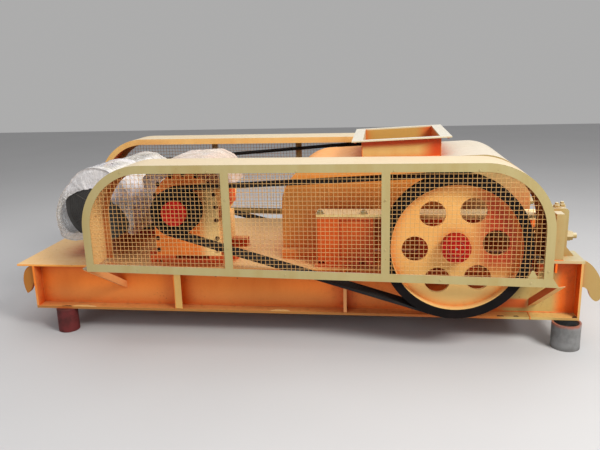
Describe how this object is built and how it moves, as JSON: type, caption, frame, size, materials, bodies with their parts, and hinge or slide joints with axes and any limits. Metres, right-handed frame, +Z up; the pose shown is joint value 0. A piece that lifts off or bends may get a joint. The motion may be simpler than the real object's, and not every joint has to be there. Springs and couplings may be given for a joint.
{
  "type": "double roll crusher",
  "caption": "Double roll crusher on a welded base: belt-driven rolls under a feed hopper, large spoked-hole pulleys, motors, mesh belt guards, lifting hooks and loose stands.",
  "frame": {"origin": "on the floor under the middle of the machine's box", "axes": "+X along the machine from the motor end to the spring end, +Y from the front belt guard to the rear one, +Z up"},
  "size_m": [3.7902, 1.744, 1.2755],
  "materials": {
    "machine_paint": "satin orange enamel, scuffed and speckled with rust",
    "mesh_paint": "painted crimped wire",
    "rim_black": "matt black",
    "hub_red": "satin red",
    "belt_rubber": "matt",
    "bare_steel": "turned, oiled",
    "roll_steel": "turned",
    "spring_steel": "painted",
    "motor_grey": "dark grey enamel",
    "clear_film": "crumpled packing film",
    "stand_red": "worn red primer",
    "stand_grey": "dull grey with a rusty rim"
  },
  "bodies": {
    "crusher_frame": {"stand_front_left": "stand_red", "stand_front_right": "stand_grey", "rear_stands": "stand_grey", "front_beam": "machine_paint", "rear_beam": "machine_paint", "left_end_beam": "machine_paint", "right_end_beam": "machine_paint", "cross_beams": "machine_paint", "deck_plate": "machine_paint", "lifting_hooks": "machine_paint", "housing_front_wall": "machine_paint", "housing_rear_wall": "machine_paint", "housing_left_cover": "machine_paint", "housing_right_cover": "machine_paint", "hopper": "machine_paint", "fixed_roll_bearings": "machine_paint", "movable_roll_bearings": "machine_paint", "spring_abutments": "machine_paint", "bearing_top_rails": "machine_paint", "tie_rods": "machine_paint", "buffer_springs": "spring_steel", "front_motor": "machine_paint", "front_motor_rails": "machine_paint", "rear_motor": "motor_grey", "rear_motor_rails": "machine_paint", "packing_film": "clear_film", "front_motor_film": "clear_film", "front_belt": "belt_rubber", "rear_belt": "belt_rubber", "front_guard_frame": "machine_paint", "front_guard_mesh": "mesh_paint", "front_guard_cover": "machine_paint", "rear_guard_frame": "machine_paint", "rear_guard_mesh": "mesh_paint", "rear_guard_cover": "machine_paint", "guard_struts": "machine_paint"},
    "movable_roll_set": {"front_pulley_rim": "rim_black", "front_pulley_disc": "machine_paint", "front_pulley_hub": "hub_red", "movable_roll_shaft": "bare_steel", "movable_roll": "roll_steel"},
    "fixed_roll_set": {"rear_pulley_rim": "rim_black", "rear_pulley_disc": "machine_paint", "rear_pulley_hub": "hub_red", "fixed_roll_shaft": "bare_steel", "fixed_roll": "roll_steel"},
    "front_motor_rotor": {"front_motor_pulley": "rim_black"},
    "rear_motor_rotor": {"rear_motor_pulley": "rim_black"}
  },
  "joints": [
    {"name": "movable_roll_spin", "type": "hinge", "parent": "crusher_frame", "child": "movable_roll_set", "pos_m": [0.998, 0, 0.665], "axis": [0, 1, 0], "continuous": true},
    {"name": "fixed_roll_spin", "type": "hinge", "parent": "crusher_frame", "child": "fixed_roll_set", "pos_m": [0.368, 0, 0.665], "axis": [0, 1, 0], "continuous": true},
    {"name": "front_motor_spin", "type": "hinge", "parent": "crusher_frame", "child": "front_motor_rotor", "pos_m": [-0.7, -0.773, 0.872], "axis": [0, 1, 0], "continuous": true},
    {"name": "rear_motor_spin", "type": "hinge", "parent": "crusher_frame", "child": "rear_motor_rotor", "pos_m": [-1.358, 0.773, 0.827], "axis": [0, 1, 0], "continuous": true}
  ],
  "couplings": [
    {"joint": "front_motor_spin", "follows": "movable_roll_spin", "ratio": 3},
    {"joint": "rear_motor_spin", "follows": "fixed_roll_spin", "ratio": 3}
  ]
}
